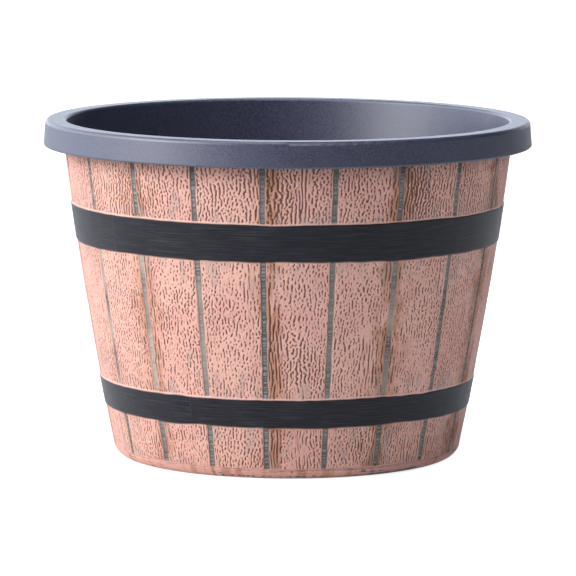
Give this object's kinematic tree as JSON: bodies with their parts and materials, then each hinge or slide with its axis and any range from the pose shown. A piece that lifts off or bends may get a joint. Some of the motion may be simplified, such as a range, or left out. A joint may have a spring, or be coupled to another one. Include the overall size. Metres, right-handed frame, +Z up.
{
  "type": "barrel planter",
  "caption": "Round tapered planter made to look like half a barrel, with staves in relief, two hoops, a rolled rim and lift-out drain plugs.",
  "frame": {"origin": "centre of the footprint, on the surface that the planter stands on", "axes": "+Z up along the pot's axis, -Y towards the front that the picture shows"},
  "size_m": [0.3798, 0.3796, 0.263],
  "materials": {
    "painted_staves": "copper-pink paint worn off the high grain, over dark moulded plastic",
    "dark_hoop": "dark blue-grey moulded plastic with fine brushed streaks",
    "plug_rubber": "smooth black rubber"
  },
  "bodies": {
    "pot": {"pot_body": "painted_staves", "upper_hoop": "dark_hoop", "lower_hoop": "dark_hoop"},
    "plug_1": {"drain_plug_1": "plug_rubber"},
    "plug_2": {"drain_plug_2": "plug_rubber"},
    "plug_3": {"drain_plug_3": "plug_rubber"},
    "plug_4": {"drain_plug_4": "plug_rubber"},
    "plug_5": {"drain_plug_5": "plug_rubber"}
  },
  "joints": [
    {"name": "plug_1_lift", "type": "slide", "parent": "pot", "child": "plug_1", "axis": [0, 0, 1], "range_m": [0, 0.04]},
    {"name": "plug_2_lift", "type": "slide", "parent": "pot", "child": "plug_2", "axis": [0, 0, 1], "range_m": [0, 0.04]},
    {"name": "plug_3_lift", "type": "slide", "parent": "pot", "child": "plug_3", "axis": [0, 0, 1], "range_m": [0, 0.04]},
    {"name": "plug_4_lift", "type": "slide", "parent": "pot", "child": "plug_4", "axis": [0, 0, 1], "range_m": [0, 0.04]},
    {"name": "plug_5_lift", "type": "slide", "parent": "pot", "child": "plug_5", "axis": [0, 0, 1], "range_m": [0, 0.04]}
  ]
}
